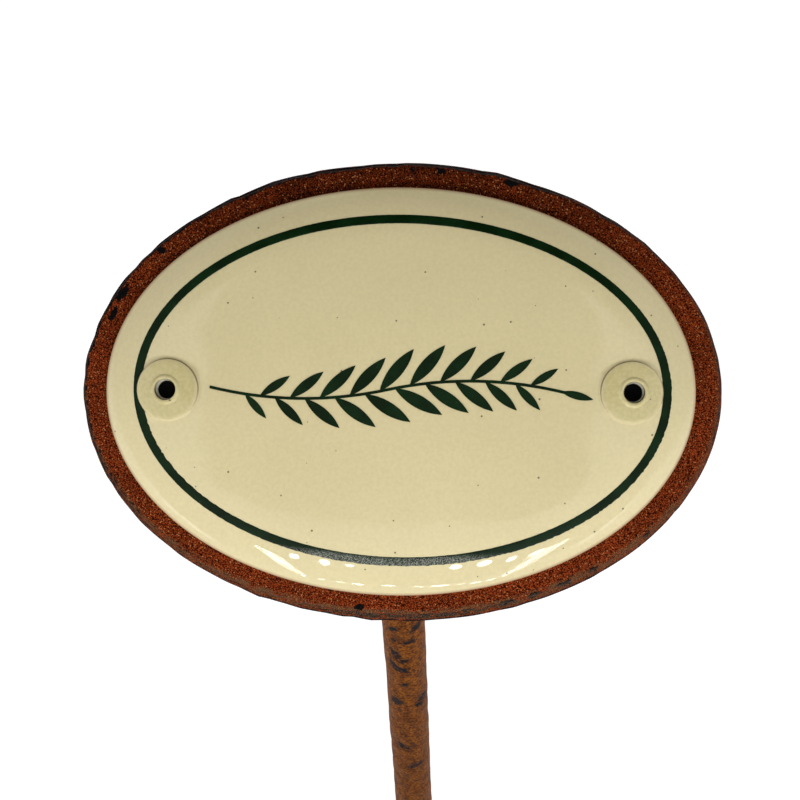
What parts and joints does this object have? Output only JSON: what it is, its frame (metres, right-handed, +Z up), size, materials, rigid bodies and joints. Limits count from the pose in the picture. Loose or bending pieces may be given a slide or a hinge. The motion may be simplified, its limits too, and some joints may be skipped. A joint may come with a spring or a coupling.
{
  "type": "plant label stake",
  "caption": "Plant label: a domed oval enamel sign glued to a tilted oval steel plate, welded to a bent round bar with a point that is pushed into the soil.",
  "frame": {"origin": "on the axis of the bar, at the surface of the soil that it stands in", "axes": "+Z up along the straight bar, +X to the right of someone reading the sign, the sign faces -Y and up"},
  "size_m": [0.1096, 0.0649, 0.2892],
  "materials": {
    "cream_enamel": "gloss",
    "ground_enamel": "gloss",
    "green_enamel": "gloss",
    "sheet_steel": "satin",
    "speckled_brown_coat": "satin",
    "rusty_bar": "satin",
    "weld_metal": "satin",
    "black_adhesive": "satin"
  },
  "bodies": {
    "root": {"stake_rod": "rusty_bar", "backing_plate": "speckled_brown_coat", "weld_bead_left": "weld_metal", "weld_bead_right": "weld_metal", "weld_bead_top": "weld_metal", "adhesive_dabs": "black_adhesive", "sign_steel_core": "sheet_steel", "sign_ground_coat": "ground_enamel", "sign_cream_enamel": "cream_enamel", "sign_border_line": "green_enamel", "sign_sprig_print": "green_enamel"}
  },
  "joints": []
}
